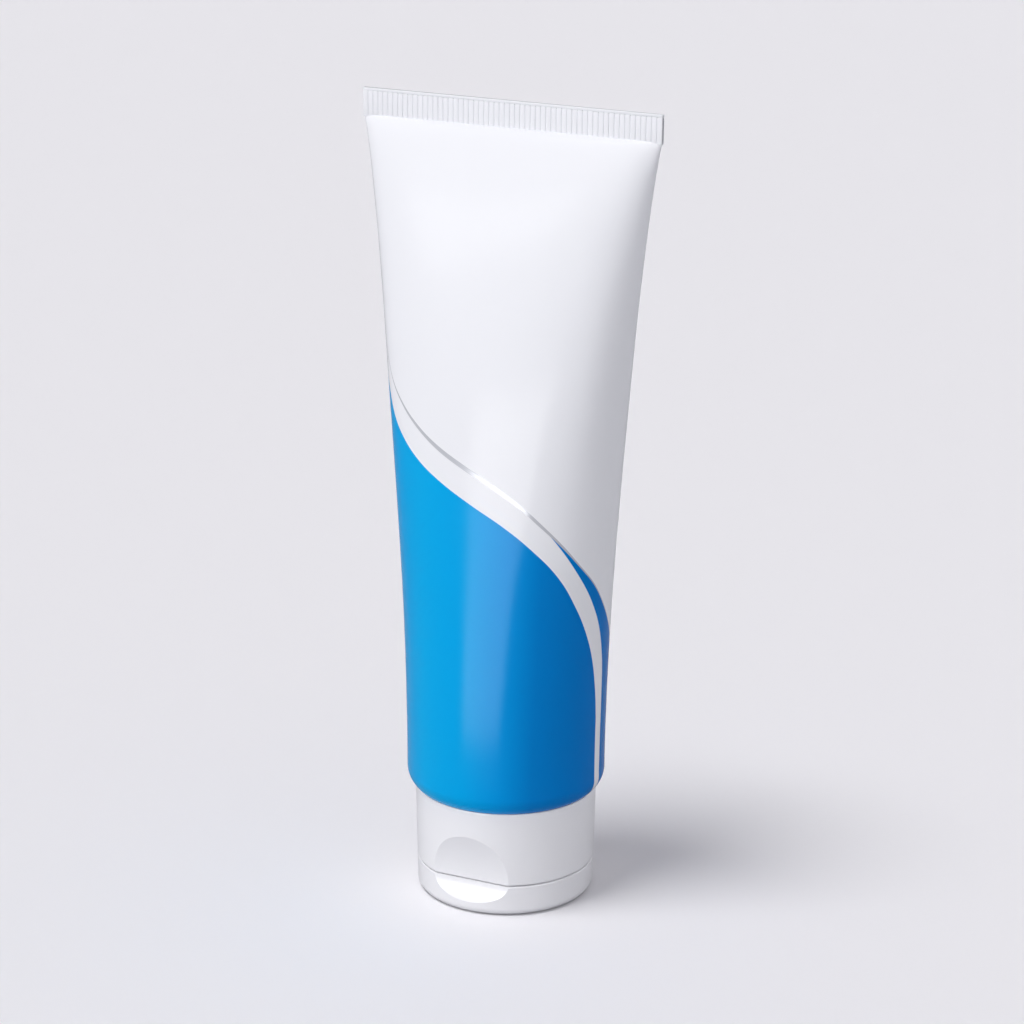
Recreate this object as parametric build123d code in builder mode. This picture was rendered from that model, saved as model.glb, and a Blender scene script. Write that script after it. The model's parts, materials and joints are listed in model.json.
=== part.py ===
from build123d import *
from math import pi, sqrt
import os

os.makedirs("parts", exist_ok=True)

# A full flip-top toothpaste tube, standing on its cap. Millimetres, +Z up towards the crimp.
# The origin is the centre of the lid's flat face, X runs along the crimp, and the thumb
# scoop faces -Y with the lid's hinge behind it at +Y.

# ---------------------------------------------------------------- driving dimensions
# Sleeve: a laminate tube, round at the shoulder and pinched flat at the crimp
tube_height = 161.6  # lid's flat face to the crimp's top edge
sleeve_radius = 20.0
sleeve_wall = 0.5
tuck_radius = 4.5  # round-over where the sleeve turns in on to the shoulder
tuck_turn = 0.8  # sine of the angle that it turns through
belly_power = 1.65  # how far up the belly stays round
pinch_power = 0.55  # how bluntly it closes at the crimp
belly_spans = 10  # ovals that the belly is lofted through

# Crimp: both walls pressed together between ribbed jaws
crimp_height = 5.2
crimp_thickness = 1.0
crimp_margin = 0.5  # plain strip above the ribs
crimp_bite = 0.5  # how far the pressed strip reaches down into the closing belly
rib_count = 58
rib_depth = 0.16

# Cap: a tapered skirt on the tube's neck, and a lid below the parting line
cap_height = 22.3
cap_step = 1.67  # from the sleeve's outside in to the cap's rim
cap_taper = 0.5  # rim radius less foot radius
skirt_wall = 1.3
rim_round = 0.2
parting_height = 6.6
parting_gap = 0.3
parting_round = 0.25
deck_thickness = 1.4
seat_gap = 0.1  # cap's rim to the tuck and the cone

# Lid
lid_wall = 1.2
lid_floor = 1.2
foot_round = 1.6
plug_gap = 0.1  # all round, where the plug fills the orifice
plug_taper = 0.25
plug_grip = 1.75  # how far it reaches up the spout
plug_round = 0.5

# Spout, its orifice and the ring that centres the lid
orifice_radius = 2.6
spout_wall = 1.8
spout_length = 2.5
collar_gap = 0.43  # to the back of the lid's scoop, measured at the cap's foot
collar_wall = 1.0
collar_length = 1.0

# Neck and the socket that clicks over its bead
neck_radius = 8.0
neck_wall = 2.0
bead_height = 0.5
bead_drop = 3.8  # bead's middle below the socket's open end
socket_gap = 0.2
socket_wall = 1.4
socket_headroom = 3.55  # from the socket's open end up to the neck's root

# Moulded shoulder
shoulder_wall = 1.2
shoulder_drop = 2.4  # rise of the cone from the neck to the tuck
shoulder_rim_length = 2.0
weld_gap = 0.1

# Paste
paste_gap = 0.25

# Thumb scoop, cut by two drums that lie along X and meet at the parting line
scoop_depth = 2.0
scoop_rise = 9.5  # above the parting line, in the skirt
scoop_fall = 4.2  # below it, in the lid

# Living hinge: one thin leaf on each half, joined by a film at the fold
hinge_width = 9.0
hinge_reach = 0.9
leaf_thickness = 0.4
leaf_gap = 0.05  # from each leaf to the fold, up and across

# ---------------------------------------------------------------- derived places
cap_rim_radius = sleeve_radius - cap_step
cap_foot_radius = cap_rim_radius - cap_taper
sleeve_end = cap_height + seat_gap
tuck_height = tuck_radius * tuck_turn
tuck_top = sleeve_end + tuck_height
crimp_root = tube_height - crimp_height
crimp_width = pi * sleeve_radius
pinch_depth = 0.3 * crimp_thickness  # the closing oval ends inside the pressed strip
deck_bottom = parting_height + parting_gap / 2
deck_top = deck_bottom + deck_thickness
lid_top = parting_height - parting_gap / 2
neck_end = deck_top + socket_gap
neck_bore_radius = neck_radius - neck_wall
cone_height = sleeve_end + seat_gap
neck_root = cone_height - shoulder_drop
socket_top = neck_root - socket_headroom
bead_middle = socket_top - bead_drop
spout_radius = orifice_radius + spout_wall
plug_tip = deck_bottom - spout_length + plug_grip
plug_root_radius = orifice_radius - plug_gap
plug_tip_radius = plug_root_radius - plug_taper
collar_radius = cap_foot_radius - scoop_depth - lid_wall - collar_gap
lining_radius = sleeve_radius - sleeve_wall - weld_gap
rim_top = tuck_top + shoulder_rim_length


def cap_radius(height):
    """Outside radius of the tapered cap at a height above the floor."""
    return cap_foot_radius + (cap_rim_radius - cap_foot_radius) * height / cap_height


def half_depth(rise):
    """Half the sleeve's depth, front to back, from the tuck (0) to the crimp (1)."""
    return pinch_depth + (sleeve_radius - pinch_depth) * (1 - rise**belly_power) ** pinch_power


def half_width(depth):
    """Half-width of the oval of that half-depth whose girth is the round end's."""
    low, high = sleeve_radius, crimp_width / 2
    while high - low > 0.001:
        wide = (low + high) / 2
        girth = pi * (3 * (wide + depth) - sqrt((3 * wide + depth) * (wide + 3 * depth)))
        if girth < 2 * crimp_width:
            low = wide
        else:
            high = wide
    return (low + high) / 2


def belly(inset, bottom, top):
    """Closed solid of the sleeve from its round end to the crimp, a given depth under its skin."""
    with BuildPart() as body:
        with BuildSketch(Plane.XY.offset(bottom)):
            Circle(sleeve_radius - inset)
        for step in range(1, belly_spans + 1):
            height = bottom + (top - bottom) * step / belly_spans
            depth = half_depth((height - tuck_top) / (crimp_root - tuck_top))
            with BuildSketch(Plane.XY.offset(height)):
                Ellipse(half_width(depth) - inset, depth - inset)
        loft()
    return body.part


def tuck(inset):
    """Closed solid of the sleeve's turned-in end, a given depth under its skin."""
    centre_radius = sleeve_radius - tuck_radius
    end_radius = centre_radius + sqrt((tuck_radius - inset) ** 2 - tuck_height**2)
    with BuildPart() as body:
        with BuildSketch(Plane.XZ):
            with BuildLine():
                TangentArc((sleeve_radius - inset, tuck_top), (end_radius, sleeve_end), tangent=(0, -1))
                Polyline(
                    (end_radius, sleeve_end),
                    (0, sleeve_end),
                    (0, tuck_top),
                    (sleeve_radius - inset, tuck_top),
                )
            make_face()
        revolve(axis=Axis.Z)
    return body.part


def scoop_drum(reach, wall):
    """Drum along X that cuts the scoop over a reach from the parting line; wall makes it fatter."""
    radius = (reach**2 + scoop_depth**2) / (2 * scoop_depth)
    scoop_front = cap_radius(parting_height) - scoop_depth
    with BuildPart() as drum:
        with BuildSketch(Plane.YZ):
            with Locations((-scoop_front - radius, parting_height)):
                Circle(radius + wall)
        extrude(amount=cap_rim_radius, both=True)
    return drum.part


# ---------------------------------------------------------------- tube_sleeve
# The inside stops where the two walls come within a crimp's thickness of each other.
inside_top = crimp_root - crimp_thickness
sleeve_outside = belly(0, tuck_top, crimp_root)
sleeve_inside = belly(sleeve_wall, tuck_top, inside_top)
tuck_outside = tuck(0)
tuck_inside = tuck(sleeve_wall)

with BuildPart() as tube_sleeve:
    add(sleeve_outside)
    add(tuck_outside)
    add(sleeve_inside, mode=Mode.SUBTRACT)
    add(tuck_inside, mode=Mode.SUBTRACT)
    # ribbed strip: rounded grooves down both faces of the pressed walls
    with BuildSketch(Plane.XY.offset(crimp_root - crimp_bite)):
        Rectangle(crimp_width, crimp_thickness)
        rib_pitch = crimp_width / rib_count
        groove_radius = (rib_pitch**2 / 16 + rib_depth**2) / (2 * rib_depth)
        with GridLocations(rib_pitch, crimp_thickness + 2 * (groove_radius - rib_depth), rib_count, 2):
            Circle(groove_radius, mode=Mode.SUBTRACT)
    extrude(amount=crimp_bite + crimp_height - crimp_margin)
    with BuildSketch(Plane.XY.offset(tube_height - crimp_margin)):
        Rectangle(crimp_width, crimp_thickness)
    extrude(amount=crimp_margin)
tube_sleeve.part.label = "tube_sleeve"
export_step(tube_sleeve.part, "parts/tube_sleeve.step")

# ---------------------------------------------------------------- tube_shoulder
# A cone with a rim welded inside the sleeve's end and a beaded neck for the cap.
lining_tuck = tuck_radius - sleeve_wall - weld_gap
lining_centre = sleeve_radius - tuck_radius
cone_radius = lining_centre + sqrt(lining_tuck**2 - (tuck_top - cone_height) ** 2)
rim_inner = lining_radius - shoulder_wall
cone_inner = cone_radius - shoulder_wall

with BuildPart() as tube_shoulder:
    with BuildSketch(Plane.XZ):
        with BuildLine():
            TangentArc((lining_radius, tuck_top), (cone_radius, cone_height), tangent=(0, -1))
            Polyline(
                (cone_radius, cone_height),
                (neck_radius, neck_root),
                (neck_radius, neck_end),
                (neck_bore_radius, neck_end),
                (neck_bore_radius, neck_root + shoulder_wall),
                (cone_inner, cone_height + shoulder_wall),
                (rim_inner, tuck_top),
                (rim_inner, rim_top),
                (lining_radius, rim_top),
                (lining_radius, tuck_top),
            )
        make_face()
        # bead round the neck
        with Locations((neck_radius, bead_middle)):
            Circle(bead_height)
    revolve(axis=Axis.Z)
tube_shoulder.part.label = "tube_shoulder"
export_step(tube_shoulder.part, "parts/tube_shoulder.step")

# ---------------------------------------------------------------- toothpaste
# The fill: the belly, the shoulder's funnel, the neck and the orifice above the plug.
paste_end = plug_tip + paste_gap
paste_skin = sleeve_wall + weld_gap + paste_gap
paste_shelf = rim_top + paste_gap
paste_belly = belly(paste_skin, tuck_top, inside_top)

with BuildPart() as toothpaste:
    add(paste_belly)
    with BuildSketch(Plane.XZ):
        with BuildLine():
            Polyline(
                (0, paste_end),
                (orifice_radius - paste_gap, paste_end),
                (orifice_radius - paste_gap, deck_top + paste_gap),
                (neck_bore_radius - paste_gap, deck_top + paste_gap),
                (neck_bore_radius - paste_gap, neck_root + shoulder_wall + paste_gap),
                (cone_inner - paste_gap, cone_height + shoulder_wall + paste_gap),
                (rim_inner - paste_gap, tuck_top),
                (0, tuck_top),
                close=True,
            )
        make_face()
    revolve(axis=Axis.Z)
    # room for the shoulder's rim
    with BuildSketch(Plane.XY.offset(tuck_top)):
        Circle(sleeve_radius)
        Circle(rim_inner - paste_gap, mode=Mode.SUBTRACT)
    extrude(amount=paste_shelf - tuck_top, mode=Mode.SUBTRACT)
toothpaste.part.label = "toothpaste"
export_step(toothpaste.part, "parts/toothpaste.step")

# ---------------------------------------------------------------- cap_base
# Tapered skirt with a deck; the deck carries the neck's socket above it, and below it the
# spout and the collar that centres the lid. The wall follows the scoop at its own thickness.
skirt_scoop = scoop_drum(scoop_rise, 0)
skirt_scoop_backing = scoop_drum(scoop_rise, skirt_wall)
hinge_place = cap_radius(parting_height) + hinge_reach
leaf_length = skirt_wall + hinge_reach - leaf_gap
leaf_place = hinge_place - leaf_gap - leaf_length / 2

with BuildPart() as skirt_hollow:
    with BuildSketch(Plane.XZ):
        Polygon(
            (0, deck_top),
            (cap_radius(deck_top) - skirt_wall, deck_top),
            (cap_rim_radius - skirt_wall, cap_height),
            (0, cap_height),
            align=None,
        )
    revolve(axis=Axis.Z)
    add(skirt_scoop_backing, mode=Mode.SUBTRACT)

with BuildPart() as cap_base:
    with BuildSketch(Plane.XZ) as skirt_section:
        Polygon(
            (0, deck_bottom),
            (cap_radius(deck_bottom), deck_bottom),
            (cap_rim_radius, cap_height),
            (0, cap_height),
            align=None,
        )
        fillet(skirt_section.vertices().sort_by(Axis.X)[-1], rim_round)
        fillet(skirt_section.vertices().group_by(Axis.Y)[0].sort_by(Axis.X)[-1], parting_round)
    revolve(axis=Axis.Z)
    add(skirt_hollow.part, mode=Mode.SUBTRACT)
    add(skirt_scoop, mode=Mode.SUBTRACT)
    # socket ring over the neck
    with BuildSketch(Plane.XY.offset(deck_top)):
        Circle(neck_radius + socket_gap + socket_wall)
        Circle(neck_radius + socket_gap, mode=Mode.SUBTRACT)
    extrude(amount=socket_top - deck_top)
    with BuildSketch(Plane.XZ):
        with Locations((neck_radius, bead_middle)):
            Circle(bead_height + socket_gap)
    revolve(axis=Axis.Z, mode=Mode.SUBTRACT)
    # spout and collar under the deck
    with BuildSketch(Plane.XY.offset(deck_bottom)):
        Circle(spout_radius)
        Circle(collar_radius)
        Circle(collar_radius - collar_wall, mode=Mode.SUBTRACT)
        Circle(spout_radius)
    extrude(amount=-collar_length)
    with BuildSketch(Plane.XY.offset(deck_bottom)):
        Circle(spout_radius)
    extrude(amount=-spout_length)
    fillet(cap_base.edges().group_by(Axis.Z)[0], parting_round)
    with BuildSketch(Plane.XY.offset(deck_top)):
        Circle(orifice_radius)
    extrude(amount=-deck_thickness - spout_length, mode=Mode.SUBTRACT)
    # hinge leaf
    with BuildSketch(Plane.XY.offset(parting_height + leaf_gap)):
        with Locations((0, leaf_place)):
            Rectangle(hinge_width, leaf_length)
    extrude(amount=leaf_thickness)
cap_base.part.label = "cap_base"
export_step(cap_base.part, "parts/cap_base.step")

# ---------------------------------------------------------------- cap_lid
# Shallow cup whose floor is the face the tube stands on, with the plug that shuts the orifice.
lid_scoop = scoop_drum(scoop_fall, 0)
lid_scoop_backing = scoop_drum(scoop_fall, lid_wall)

with BuildPart() as lid_hollow:
    with BuildSketch(Plane.XZ):
        Polygon(
            (0, lid_floor),
            (cap_radius(lid_floor) - lid_wall, lid_floor),
            (cap_radius(lid_top) - lid_wall, lid_top),
            (0, lid_top),
            align=None,
        )
    revolve(axis=Axis.Z)
    add(lid_scoop_backing, mode=Mode.SUBTRACT)

with BuildPart() as cap_lid:
    with BuildSketch(Plane.XZ) as lid_section:
        Polygon(
            (0, 0),
            (cap_foot_radius, 0),
            (cap_radius(lid_top), lid_top),
            (0, lid_top),
            align=None,
        )
        fillet(lid_section.vertices().sort_by(Axis.X)[-1], parting_round)
        fillet(lid_section.vertices().group_by(Axis.Y)[0].sort_by(Axis.X)[-1], foot_round)
    revolve(axis=Axis.Z)
    add(lid_hollow.part, mode=Mode.SUBTRACT)
    add(lid_scoop, mode=Mode.SUBTRACT)
    # plug
    with BuildSketch(Plane.XZ):
        Polygon(
            (0, lid_floor),
            (plug_root_radius, lid_floor),
            (plug_tip_radius, plug_tip),
            (0, plug_tip),
            align=None,
        )
    revolve(axis=Axis.Z)
    plug_rim = cap_lid.edges().filter_by(GeomType.CIRCLE).filter_by_position(Axis.Z, plug_tip - 0.01, plug_tip + 0.01)
    fillet(plug_rim, plug_round)
    # hinge leaf
    with BuildSketch(Plane.XY.offset(parting_height - leaf_gap)):
        with Locations((0, leaf_place)):
            Rectangle(hinge_width, leaf_length)
    extrude(amount=-leaf_thickness)
cap_lid.part.label = "cap_lid"
export_step(cap_lid.part, "parts/cap_lid.step")
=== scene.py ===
import json
import math

import bpy
from mathutils import Matrix, Vector


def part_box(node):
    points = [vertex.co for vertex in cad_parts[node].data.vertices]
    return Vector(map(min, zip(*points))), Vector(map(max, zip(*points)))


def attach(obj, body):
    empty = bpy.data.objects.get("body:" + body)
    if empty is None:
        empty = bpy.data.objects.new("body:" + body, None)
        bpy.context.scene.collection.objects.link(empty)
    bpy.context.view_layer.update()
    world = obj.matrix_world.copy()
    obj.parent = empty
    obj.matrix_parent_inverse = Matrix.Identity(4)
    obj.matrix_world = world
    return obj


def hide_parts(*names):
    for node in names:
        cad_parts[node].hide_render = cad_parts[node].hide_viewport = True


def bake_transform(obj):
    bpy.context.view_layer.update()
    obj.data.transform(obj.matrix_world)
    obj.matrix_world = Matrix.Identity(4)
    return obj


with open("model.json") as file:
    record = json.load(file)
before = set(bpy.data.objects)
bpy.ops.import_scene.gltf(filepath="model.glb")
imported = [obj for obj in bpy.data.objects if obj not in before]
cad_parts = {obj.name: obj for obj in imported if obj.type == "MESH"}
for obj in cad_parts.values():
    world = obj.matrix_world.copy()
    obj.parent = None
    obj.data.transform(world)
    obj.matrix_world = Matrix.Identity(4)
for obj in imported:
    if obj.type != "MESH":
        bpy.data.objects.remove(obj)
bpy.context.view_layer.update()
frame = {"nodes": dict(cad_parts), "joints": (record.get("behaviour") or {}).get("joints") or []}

MM = 0.001


# ---------------------------------------------------------------- studio
# A pale floor that runs to the horizon, soft suns from above, from the front and from the right,
# two windows that only give gloss, and a dim surround. None of it is part of the tube.
def srgb(red, green, blue):
    """A colour given in 0 to 255 display values, as the linear RGBA that the shader takes."""
    def linear(value):
        share = value / 255
        return share / 12.92 if share <= 0.04045 else ((share + 0.055) / 1.055) ** 2.4
    return (linear(red), linear(green), linear(blue), 1)


class Shade:
    """A value in a node tree. Arithmetic on it adds the Math nodes."""
    def __init__(self, graph, socket):
        self.graph = graph
        self.socket = socket

    def __add__(self, other):
        return self.graph.math("ADD", self, other)

    def __sub__(self, other):
        return self.graph.math("SUBTRACT", self, other)

    def __mul__(self, other):
        return self.graph.math("MULTIPLY", self, other)

    def __truediv__(self, other):
        return self.graph.math("DIVIDE", self, other)

    __radd__ = __add__
    __rmul__ = __mul__


class Graph:
    """A material's or world's node tree."""
    def __init__(self, owner):
        owner.use_nodes = True
        self.tree = owner.node_tree

    def node(self, kind, settings=None, inputs=None, output=0):
        """Adds a node, sets it up, fills its inputs with values or links, and returns one output."""
        made = self.tree.nodes.new("ShaderNode" + kind)
        for name, value in (settings or {}).items():
            setattr(made, name, value)
        for name, value in (inputs or {}).items():
            self.feed(made.inputs[name], value)
        return Shade(self, made.outputs[output])

    def feed(self, socket, value):
        if isinstance(value, Shade):
            self.tree.links.new(value.socket, socket)
        else:
            socket.default_value = value

    def math(self, operation, *values):
        return self.node("Math", {"operation": operation}, dict(enumerate(values)))

    def clamp(self, value):
        return self.node("Clamp", inputs={0: value})

    def mix(self, factor, first, second):
        """Blends two colours."""
        return self.node("Mix", {"data_type": "RGBA"}, {0: factor, 6: first, 7: second}, 2)

    def curve(self, value, points):
        """A smooth curve of the value through a few (value, result) points, both from 0 to 1."""
        result = self.node("FloatCurve", inputs={"Value": value})
        mapping = result.socket.node.mapping
        line = mapping.curves[0].points
        line[0].location = points[0]
        line[-1].location = points[-1]
        for place in points[1:-1]:
            line.new(*place)
        mapping.update()
        return result

    def bump(self, height, distance):
        return self.node("Bump", inputs={"Height": height, "Distance": distance})


def plastic(name, colour, roughness):
    """A moulded plastic: its graph and its shader, ready for more detail."""
    material = bpy.data.materials.new(name)
    graph = Graph(material)
    shader = graph.tree.nodes["Principled BSDF"]
    graph.feed(shader.inputs["Base Color"], colour)
    graph.feed(shader.inputs["Roughness"], roughness)
    return material, graph, shader.inputs


FLOOR_SIZE = 6.0
FLOOR_SEEN = srgb(241, 240, 243)  # what the camera sees
FLOOR_BOUNCE = srgb(172, 172, 177)  # what lights the tube from below
FLOOR_LIFT = srgb(66, 66, 67)
SURROUND_COLOUR = srgb(229, 228, 234)
SURROUND_STRENGTH = 0.46

bpy.ops.object.select_all(action="DESELECT")
bpy.ops.mesh.primitive_plane_add(size=FLOOR_SIZE)
floor = bpy.context.object
floor.name = "studio_floor"
floor_material, graph, shader = plastic("floor paper", FLOOR_SEEN, 0.9)
seen = graph.node("LightPath", output=0)
graph.feed(shader["Base Color"], graph.mix(seen, FLOOR_BOUNCE, FLOOR_SEEN))
graph.feed(shader["Specular IOR Level"], 0.0)
graph.feed(shader["Emission Color"], graph.mix(seen, (0, 0, 0, 1), FLOOR_LIFT))
graph.feed(shader["Emission Strength"], 1.0)
floor.data.materials.append(floor_material)

world = bpy.data.worlds.new("studio")
bpy.context.scene.world = world
graph = Graph(world)
background = graph.tree.nodes["Background"]
background.inputs["Color"].default_value = SURROUND_COLOUR
background.inputs["Strength"].default_value = SURROUND_STRENGTH


def sun(name, towards, energy, spread):
    """A sun that shines from (azimuth, elevation), as wide as that many degrees, so that it is soft."""
    data = bpy.data.lights.new(name, "SUN")
    data.energy = energy
    data.angle = math.radians(spread)
    holder = bpy.data.objects.new(name, data)
    bpy.context.collection.objects.link(holder)
    azimuth, elevation = (math.radians(angle) for angle in towards)
    source = Vector((math.sin(azimuth) * math.cos(elevation), -math.cos(azimuth) * math.cos(elevation),
                     math.sin(elevation)))
    holder.rotation_euler = source.to_track_quat("Z", "Y").to_euler()
    return holder


KEY_TOWARDS = (-33, 70)
KEY_SPREAD = 22
sun("overhead key", KEY_TOWARDS, 0.85, KEY_SPREAD)
floor_key = sun("floor key", KEY_TOWARDS, 0.75, KEY_SPREAD)
front_fill = sun("front fill", (-15, 13), 1.82, 50)
side_fill = sun("side fill", (123, 6), 1.12, 60)

# The two fills stay off the floor, so that only the key's shadow is seen on it. The floor key
# lights nothing but the floor, where it deepens that shadow.
unlit = bpy.data.collections.new("not filled")
unlit.objects.link(floor)
for holder in (front_fill, side_fill):
    holder.light_linking.receiver_collection = unlit
unlit.collection_objects[0].light_linking.link_state = "EXCLUDE"
only_floor = bpy.data.collections.new("only the floor")
only_floor.objects.link(floor)
floor_key.light_linking.receiver_collection = only_floor


def shine(name, place, aim, roll, width, height, power):
    """A rectangular lamp that only gives gloss: it is seen in reflections and lights nothing."""
    data = bpy.data.lights.new(name, "AREA")
    data.shape = "RECTANGLE"
    data.size = width
    data.size_y = height
    data.energy = power
    holder = bpy.data.objects.new(name, data)
    bpy.context.collection.objects.link(holder)
    turn = (Vector(aim) - Vector(place)).to_track_quat("-Z", "Y").to_matrix()
    turn = turn @ Matrix.Rotation(math.radians(roll), 3, "Z")
    holder.matrix_world = Matrix.Translation(place) @ turn.to_4x4()
    holder.visible_camera = False
    holder.visible_diffuse = False
    holder.visible_transmission = False


# A window of light low in front, which shows as a pale upright streak, and one high on the left.
shine("low window", (-0.006, -0.12, 0.053), (0, 0, 0.053), 0, 0.085, 0.1, 0.25)
shine("high window", (-0.45, -0.84, 0.34), (0, -0.01, 0.14), 20, 0.66, 0.16, 2.6)

# The camera looks slightly down from the right of the tube's front, through a long lens.
CAMERA_AZIMUTH = math.radians(25.137)
CAMERA_ELEVATION = math.radians(17.979)
CAMERA_ROLL = math.radians(0.416)
CAMERA_DISTANCE = 0.6185
CAMERA_LENS = 109.85
CAMERA_AIM = Vector((0.00076, 0.00036, 0.07946))

turn = Matrix.Rotation(CAMERA_AZIMUTH, 3, "Z") @ Matrix.Rotation(math.pi / 2 - CAMERA_ELEVATION, 3, "X")
turn = turn @ Matrix.Rotation(CAMERA_ROLL, 3, "Z")
camera_data = bpy.data.cameras.new("camera")
camera_data.lens = CAMERA_LENS
camera = bpy.data.objects.new("camera", camera_data)
bpy.context.collection.objects.link(camera)
camera.matrix_world = Matrix.Translation(CAMERA_AIM + turn.col[2] * CAMERA_DISTANCE) @ turn.to_4x4()
bpy.context.scene.camera = camera
bpy.context.scene.view_settings.view_transform = "Standard"


# ---------------------------------------------------------------- shoulder
# A natural white moulding with a cone, a rim welded inside the sleeve and a beaded neck.
MOULDED_GLOSS = 0.25
SWIRL_SCALE = 140
GRAIN_SCALE = 2600
MOULDED_SWING = 0.08  # of the roughness


def moulded(name, colour, roughness, grain):
    """Moulded plastic with the faint unevenness of a polished tool."""
    material, graph, shader = plastic(name, colour, roughness)
    graph.feed(shader["Specular IOR Level"], MOULDED_GLOSS)
    place = graph.node("TexCoord", output=3)
    swirl = graph.node("TexNoise", inputs={"Vector": place, "Scale": SWIRL_SCALE, "Detail": 3})
    fine = graph.node("TexNoise", inputs={"Vector": place, "Scale": GRAIN_SCALE, "Detail": 2})
    graph.feed(shader["Roughness"], roughness + MOULDED_SWING * (swirl - 0.5))
    graph.feed(shader["Normal"], graph.bump(swirl * 0.6 + fine * 0.4, grain))
    return material


def finish_node(name, material):
    """Gives a carried-over piece its material in every slot."""
    piece = frame["nodes"][name]
    if not piece.material_slots:
        piece.data.materials.append(material)
    for slot in piece.material_slots:
        slot.material = material
    return piece


finish_node("tube_shoulder", moulded("shoulder plastic", srgb(238, 238, 236), 0.45, 0.02 * MM))

# ---------------------------------------------------------------- toothpaste
# The fill, seen only at the orifice when the lid is open: smooth, wet and faintly minty.
finish_node("toothpaste", moulded("paste", srgb(226, 243, 245), 0.2, 0.05 * MM))

# ---------------------------------------------------------------- sleeve
# A printed laminate tube, welded round the shoulder and pressed flat between ribbed jaws at the
# crimp. Its girth is the same all the way up, so it widens as it flattens.
sleeve_low, sleeve_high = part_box("tube_sleeve")
SLEEVE_RADIUS = sleeve_high.y
TUBE_HEIGHT = sleeve_high.z
CRIMP_HALF_WIDTH = sleeve_high.x
CRIMP_HEIGHT = 5.2 * MM
CRIMP_THICKNESS = 1.0 * MM
CRIMP_MARGIN = 0.5 * MM
TUCK_RADIUS = 4.5 * MM
TUCK_HEIGHT = 3.6 * MM
BELLY_POWER = 1.65
PINCH_POWER = 0.55
CLOSED_SHARE = 0.45  # of the crimp's thickness, where the belly runs into it
GIRTH_TOLERANCE = 0.001 * MM
SMOOTH_ANGLE = math.radians(40)

RING_POINTS = 192
TUCK_RINGS = 10
BELLY_RINGS = 90
crimp_root = TUBE_HEIGHT - CRIMP_HEIGHT
tuck_top = sleeve_low.z + TUCK_HEIGHT


def half_depth(rise):
    """Half the sleeve's depth from the tuck (0) to the crimp (1)."""
    closed = CLOSED_SHARE * CRIMP_THICKNESS
    return closed + (SLEEVE_RADIUS - closed) * (1 - rise**BELLY_POWER) ** PINCH_POWER


def half_width(depth):
    """Half-width of the oval of that half-depth whose girth is the round end's."""
    low, high = SLEEVE_RADIUS, CRIMP_HALF_WIDTH
    while high - low > GIRTH_TOLERANCE:
        wide = (low + high) / 2
        girth = math.pi * (3 * (wide + depth) - math.sqrt((3 * wide + depth) * (wide + 3 * depth)))
        if girth < 2 * math.pi * SLEEVE_RADIUS:
            low = wide
        else:
            high = wide
    return (low + high) / 2


# Every ring of the sleeve, from the edge of the tuck to the crimp: height, half-width, half-depth.
rings = []
tuck_start = math.asin(TUCK_HEIGHT / TUCK_RADIUS)
for step in range(TUCK_RINGS):
    angle = tuck_start * (1 - step / TUCK_RINGS)
    radius = SLEEVE_RADIUS - TUCK_RADIUS * (1 - math.cos(angle))
    rings.append((tuck_top - TUCK_RADIUS * math.sin(angle), radius, radius))
for step in range(BELLY_RINGS + 1):
    rise = math.sin(math.pi / 2 * step / BELLY_RINGS)
    depth = half_depth(rise)
    rings.append((tuck_top + rise * (crimp_root - tuck_top), half_width(depth), depth))

bpy.ops.object.select_all(action="DESELECT")
bpy.ops.mesh.primitive_circle_add(vertices=RING_POINTS, radius=1, location=(0, 0, 0))
sleeve = bpy.context.object
sleeve.name = "printed_sleeve"
bpy.ops.object.mode_set(mode="EDIT")
bpy.ops.mesh.select_all(action="SELECT")
height, wide, deep = rings[0]
bpy.ops.transform.resize(value=(wide, deep, 1))
bpy.ops.transform.translate(value=(0, 0, height))
for next_height, next_wide, next_deep in rings[1:]:
    bpy.ops.mesh.extrude_region_move(TRANSFORM_OT_translate={"value": (0, 0, next_height - height)})
    bpy.ops.transform.resize(value=(next_wide / wide, next_deep / deep, 1),
                             center_override=(0, 0, next_height))
    height, wide, deep = next_height, next_wide, next_deep
bpy.ops.mesh.select_all(action="SELECT")
bpy.ops.mesh.normals_make_consistent(inside=False)
bpy.ops.object.mode_set(mode="OBJECT")

# The print follows the skin: across is the turn round the tube, up is the height.
PRINT_SEAM = -130  # degrees from the front, towards +X, where the print's ends meet
print_map = sleeve.data.uv_layers.new(name="print")
for face in sleeve.data.polygons:
    middle = None
    for loop in face.loop_indices:
        vertex = sleeve.data.loops[loop].vertex_index
        place = sleeve.data.vertices[vertex].co
        _, wide, deep = rings[min(vertex // RING_POINTS, len(rings) - 1)]
        turn_round = math.degrees(math.atan2(place.x / wide, -place.y / deep))
        if middle is None:
            middle = (turn_round - PRINT_SEAM) % 360 + PRINT_SEAM
        turn_round = middle + (turn_round - middle + 180) % 360 - 180
        print_map.data[loop].uv = ((turn_round - PRINT_SEAM) / 360, place.z / TUBE_HEIGHT)

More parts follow.
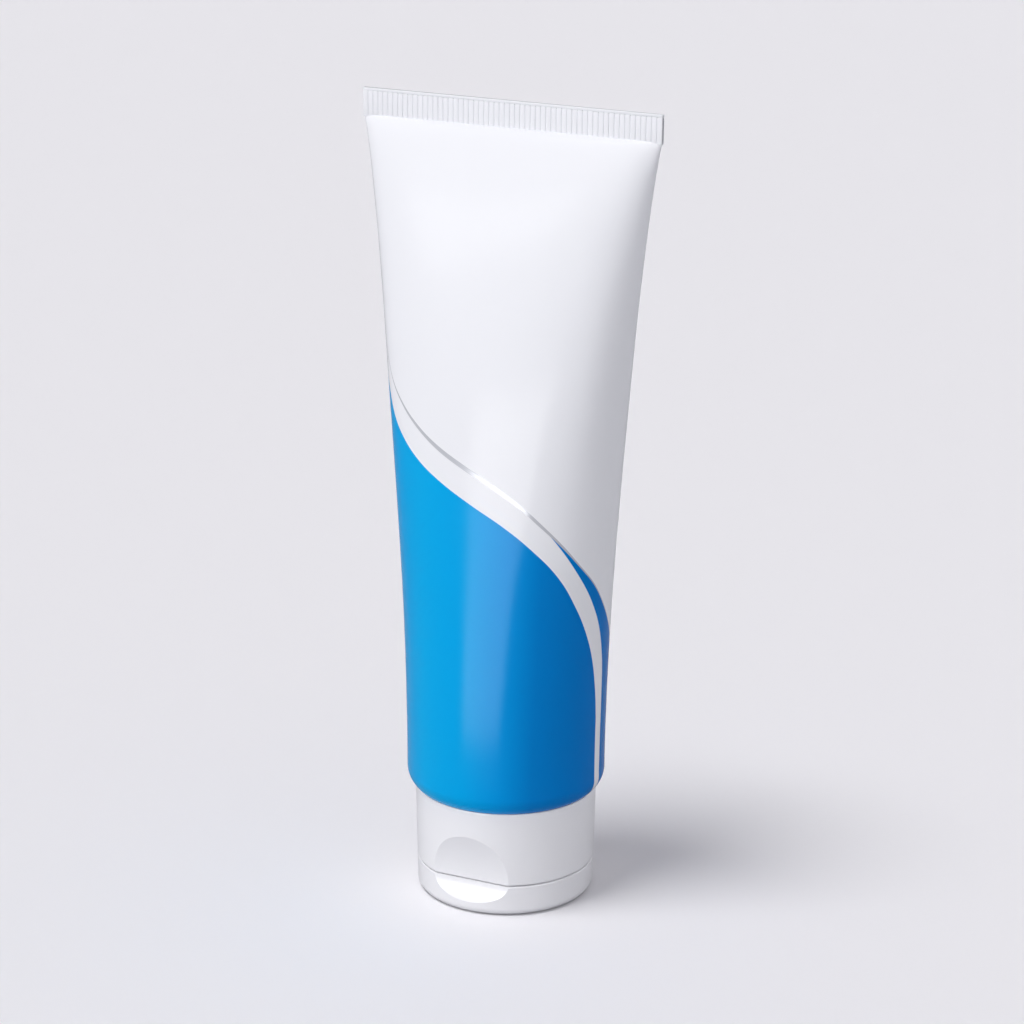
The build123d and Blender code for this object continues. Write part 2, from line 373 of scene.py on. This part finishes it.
# Towards the crimp the faces stay flatter than an oval's and turn more sharply at the sides. A
# lattice over the belly makes each section squarer and very slightly narrower.
FLATTENING = 0.8  # how far the sections' power rises above an oval's 2
FLATTEN_FROM = 0.2  # of the belly's height
FLATTEN_OVER = 0.5
NARROWING = 0.02
ACROSS_LIMIT = 0.93  # keeps the sides, where an oval has no depth, out of the division
LATTICE_COLUMNS = 17
LATTICE_ROWS = 14
bpy.ops.object.select_all(action="DESELECT")
bpy.ops.object.add(type="LATTICE", location=(0, 0, (tuck_top + crimp_root) / 2))
former = bpy.context.object
former.scale = (2 * CRIMP_HALF_WIDTH, 2 * SLEEVE_RADIUS, crimp_root - tuck_top)
former.data.points_u = LATTICE_COLUMNS
former.data.points_v = 2
former.data.points_w = LATTICE_ROWS
for point in former.data.points:
    rise = min(max(point.co.z + 0.5, 0), 1)
    deep = half_depth(rise)
    wide = half_width(deep)
    ease = min(max((rise - FLATTEN_FROM) / FLATTEN_OVER, 0), 1)
    power = 2 + FLATTENING * ease * ease * (3 - 2 * ease)
    across = min(abs(point.co.x) * former.scale.x / wide, ACROSS_LIMIT)
    point.co_deform.y *= (1 - across**power) ** (1 / power) / math.sqrt(1 - across**2)
    point.co_deform.x *= 1 - NARROWING * (power - 2) * deep / wide
press = sleeve.modifiers.new("flatter faces", "LATTICE")
press.object = former
bpy.context.view_layer.objects.active = sleeve
bpy.ops.object.modifier_apply(modifier=press.name)
bpy.ops.object.select_all(action="DESELECT")
former.select_set(True)
bpy.ops.object.delete()

# One rib of the crimp: a bar with rounded long edges, repeated across. The row's two ends are open.
RIBS = 58
RIB_OVERLAP = 0.5 * MM  # below the crimp's root, into the belly
RIB_BEVEL = 0.2 * MM
MARGIN_BEVEL = 0.08 * MM
RIB_WELD = 0.01 * MM
rib_pitch = 2 * CRIMP_HALF_WIDTH / RIBS
rib_foot = crimp_root - RIB_OVERLAP
rib_top = TUBE_HEIGHT - CRIMP_MARGIN
bpy.ops.object.select_all(action="DESELECT")
bpy.ops.mesh.primitive_cube_add(size=1)
crimp = bpy.context.object
crimp.name = "crimp_ribs"
bpy.ops.object.mode_set(mode="EDIT")
bpy.ops.transform.resize(value=(rib_pitch, CRIMP_THICKNESS, rib_top - rib_foot))
bpy.ops.transform.translate(value=(rib_pitch / 2 - CRIMP_HALF_WIDTH, 0, (rib_top + rib_foot) / 2))
bpy.ops.object.mode_set(mode="OBJECT")
for edge in crimp.data.edges:
    ends = [crimp.data.vertices[v].co for v in edge.vertices]
    edge.select = abs(ends[0].z - ends[1].z) > MM
for face in crimp.data.polygons:
    face.select = False
bpy.ops.object.mode_set(mode="EDIT")
bpy.ops.mesh.select_mode(type="EDGE")
bpy.ops.mesh.bevel(offset=RIB_BEVEL, segments=4, profile=0.5)
bpy.ops.mesh.select_all(action="DESELECT")
bpy.ops.object.mode_set(mode="OBJECT")
for face in crimp.data.polygons:
    face.select = abs(face.normal.x) > 0.99
bpy.ops.object.mode_set(mode="EDIT")
bpy.ops.mesh.select_mode(type="FACE")
bpy.ops.mesh.delete(type="FACE")
bpy.ops.object.mode_set(mode="OBJECT")
row = crimp.modifiers.new("row of ribs", "ARRAY")
row.count = RIBS
row.use_relative_offset = False
row.use_constant_offset = True
row.constant_offset_displace = (rib_pitch, 0, 0)
row.use_merge_vertices = True
row.merge_threshold = RIB_WELD
bpy.ops.object.modifier_apply(modifier=row.name)

bpy.ops.mesh.primitive_cube_add(size=1)
margin = bpy.context.object
bpy.ops.object.mode_set(mode="EDIT")
bpy.ops.transform.resize(value=(2 * CRIMP_HALF_WIDTH, CRIMP_THICKNESS, CRIMP_MARGIN))
bpy.ops.transform.translate(value=(0, 0, TUBE_HEIGHT - CRIMP_MARGIN / 2))
bpy.ops.mesh.bevel(offset=MARGIN_BEVEL, segments=3)
bpy.ops.object.mode_set(mode="OBJECT")

bpy.ops.object.select_all(action="DESELECT")
for part in (margin, crimp, sleeve):
    part.select_set(True)
bpy.context.view_layer.objects.active = sleeve
bpy.ops.object.join()
bpy.ops.object.shade_smooth_by_angle(angle=SMOOTH_ANGLE)

# The crimp is above the print.
print_map = sleeve.data.uv_layers["print"]
for face in sleeve.data.polygons:
    for loop in face.loop_indices:
        place = sleeve.data.vertices[sleeve.data.loops[loop].vertex_index].co
        if place.z > crimp_root - MM:
            print_map.data[loop].uv = (0.5, place.z / TUBE_HEIGHT)

# Print: a blue field under a wavy edge, a white band, a thin silver line and a second blue field
# that starts as a sliver under the line. Points are (degrees from the front, height in mm), and
# for the sliver (degrees, how far the second field reaches below the line in mm).
SILVER_LINE = [
    (-130, 112), (-110, 120), (-90, 121), (-66, 113), (-55, 106.5), (-45, 102.7), (-33, 99.1),
    (-20, 95.9), (-5, 92.9), (10, 90), (25, 86.5), (38, 82.6), (50, 78.7), (63, 73.9), (76, 69),
    (88, 63.5), (100, 58), (120, 50), (142, 48), (180, 62), (210, 92), (230, 112)]
FIELD_EDGE = [
    (-130, 112), (-110, 119.5), (-90, 116), (-64, 105.3), (-55, 99.9), (-45, 96.2), (-32, 92.5),
    (-17, 89.2), (0, 85.8), (18, 82.1), (34, 77.7), (50, 71.9), (62.5, 65.1), (71, 59.5),
    (78, 53.7), (82.5, 48.2), (85.8, 42), (87.4, 34), (88, 20), (88.5, 0), (230, 0)]
SLIVER = [
    (-130, 0), (38, 0), (48, 0.6), (58, 1.5), (67, 2.6), (76.5, 4.3), (84, 6), (89, 8.8),
    (92, 12.5), (93.3, 18), (94.2, 32), (95, 60), (140, 75), (180, 100), (210, 120), (230, 130)]
# (share of the turn from the seam, width in mm)
LINE_WIDTH = [
    (0, 0.1), (0.18, 0.35), (0.28, 0.8), (0.36, 1), (0.43, 0.9), (0.5, 0.6), (0.6, 0.3), (0.8, 0.3),
    (1, 0.1)]
BLUES = [
    (-130, (0, 130, 205)), (-65, (10, 165, 232)), (-30, (10, 172, 235)), (0, (0, 166, 234)),
    (20, (0, 152, 228)), (40, (0, 128, 208)), (75, (0, 122, 206)), (120, (0, 110, 190)),
    (180, (0, 110, 190)), (230, (0, 130, 205))]
WHITE = srgb(243, 244, 248)
SILVER = srgb(198, 200, 206)
SILVER_METAL = 0.1
PRINT_SOFTNESS = 0.12  # mm
CURVE_TOP = 130  # mm
LAMINATE_ROUGHNESS = 0.15
LAMINATE_SWING = 0.06  # of the roughness
LAMINATE_GLOSS = 0.07
WOBBLE_SCALE = 45
WOBBLE_HEIGHT = 0.15 * MM

laminate, graph, shader = plastic("printed laminate", WHITE, LAMINATE_ROUGHNESS)
graph.feed(shader["Specular IOR Level"], LAMINATE_GLOSS)
uv = graph.node("UVMap", {"uv_map": "print"})
split = graph.node("SeparateXYZ", inputs={0: uv})
around = Shade(graph, split.socket.node.outputs["X"])
up = Shade(graph, split.socket.node.outputs["Y"]) * (TUBE_HEIGHT / MM)


def print_edge(points):
    """Millimetres up the tube, at each turn round it, on a smooth line through the points."""
    scaled = [((turn_round - PRINT_SEAM) / 360, level / CURVE_TOP) for turn_round, level in points]
    return graph.curve(around, scaled) * CURVE_TOP


line = print_edge(SILVER_LINE)
under_line = graph.clamp((line - up) / PRINT_SOFTNESS)
under_field = graph.clamp((print_edge(FIELD_EDGE) - up) / PRINT_SOFTNESS)
under_band = graph.clamp((line - print_edge(SLIVER) - up) / PRINT_SOFTNESS)
blue_mask = graph.clamp(under_field + (under_line - under_band))
blue = graph.node("ValToRGB", inputs={0: around})
ramp = blue.socket.node.color_ramp
while len(ramp.elements) < len(BLUES):
    ramp.elements.new(0.5)
for element, (turn_round, colour) in zip(ramp.elements, BLUES):
    element.position = (turn_round - PRINT_SEAM) / 360
    element.color = srgb(*colour)
line_width = graph.curve(around, LINE_WIDTH)
offset = graph.math("ABSOLUTE", line - up)
silver_mask = graph.clamp((line_width * 0.5 - offset) / PRINT_SOFTNESS + 0.5)
colour = graph.mix(silver_mask, graph.mix(blue_mask, WHITE, blue), SILVER)
graph.feed(shader["Base Color"], colour)
graph.feed(shader["Metallic"], silver_mask * SILVER_METAL)
place = graph.node("TexCoord", output=3)
wobble = graph.node("TexNoise", inputs={"Vector": place, "Scale": WOBBLE_SCALE, "Detail": 2})
graph.feed(shader["Roughness"], LAMINATE_ROUGHNESS + LAMINATE_SWING * wobble)
graph.feed(shader["Normal"], graph.bump(wobble, WOBBLE_HEIGHT))
sleeve.data.materials.append(laminate)
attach(sleeve, "tube")
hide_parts("tube_sleeve")

# ---------------------------------------------------------------- cap and lid
# One white moulding in two halves: a tapered skirt pushed on the neck, and the lid below it.
cap_plastic = moulded("cap plastic", srgb(247, 247, 250), 0.3, 0.02 * MM)
finish_node("cap_base", cap_plastic)
finish_node("cap_lid", cap_plastic)

# ---------------------------------------------------------------- hinge film
# The thin moulded web that joins the leaves of the two halves. On the real cap it folds when the lid
# moves; here it is a fixed bow round the fold line.
hinge = frame["joints"][0]
fold = Vector(hinge["pos_m"])
FILM_RADIUS = 0.45 * MM
FILM_THICKNESS = 0.12 * MM
FILM_WIDTH = 9.0 * MM
FILM_BACK = 0.1 * MM  # how far the bow reaches inside the fold
CUT_TOLERANCE = 0.001 * MM
bpy.ops.object.select_all(action="DESELECT")
bpy.ops.mesh.primitive_circle_add(vertices=64, radius=FILM_RADIUS, rotation=(0, math.pi / 2, 0),
                                  location=(0, 0, 0))
film = bpy.context.object
film.name = "hinge_film"
bpy.ops.object.transform_apply(location=True, rotation=True, scale=True)
bpy.ops.object.mode_set(mode="EDIT")
bpy.ops.mesh.select_mode(type="EDGE")
bpy.ops.mesh.select_all(action="SELECT")
bpy.ops.transform.translate(value=(-FILM_WIDTH / 2, fold.y, fold.z))
bpy.ops.mesh.bisect(plane_co=(0, fold.y - FILM_BACK, 0), plane_no=(0, 1, 0), clear_inner=True,
                    threshold=CUT_TOLERANCE)
bpy.ops.mesh.select_all(action="SELECT")
bpy.ops.mesh.extrude_region_move(TRANSFORM_OT_translate={"value": (FILM_WIDTH, 0, 0)})
bpy.ops.mesh.select_all(action="SELECT")
bpy.ops.mesh.normals_make_consistent(inside=False)
bpy.ops.object.mode_set(mode="OBJECT")
wall = film.modifiers.new("film thickness", "SOLIDIFY")
wall.thickness = FILM_THICKNESS
wall.offset = -1
bpy.ops.object.modifier_apply(modifier=wall.name)
bpy.ops.object.shade_smooth_by_angle(angle=SMOOTH_ANGLE)
film.data.materials.append(cap_plastic)
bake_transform(film)
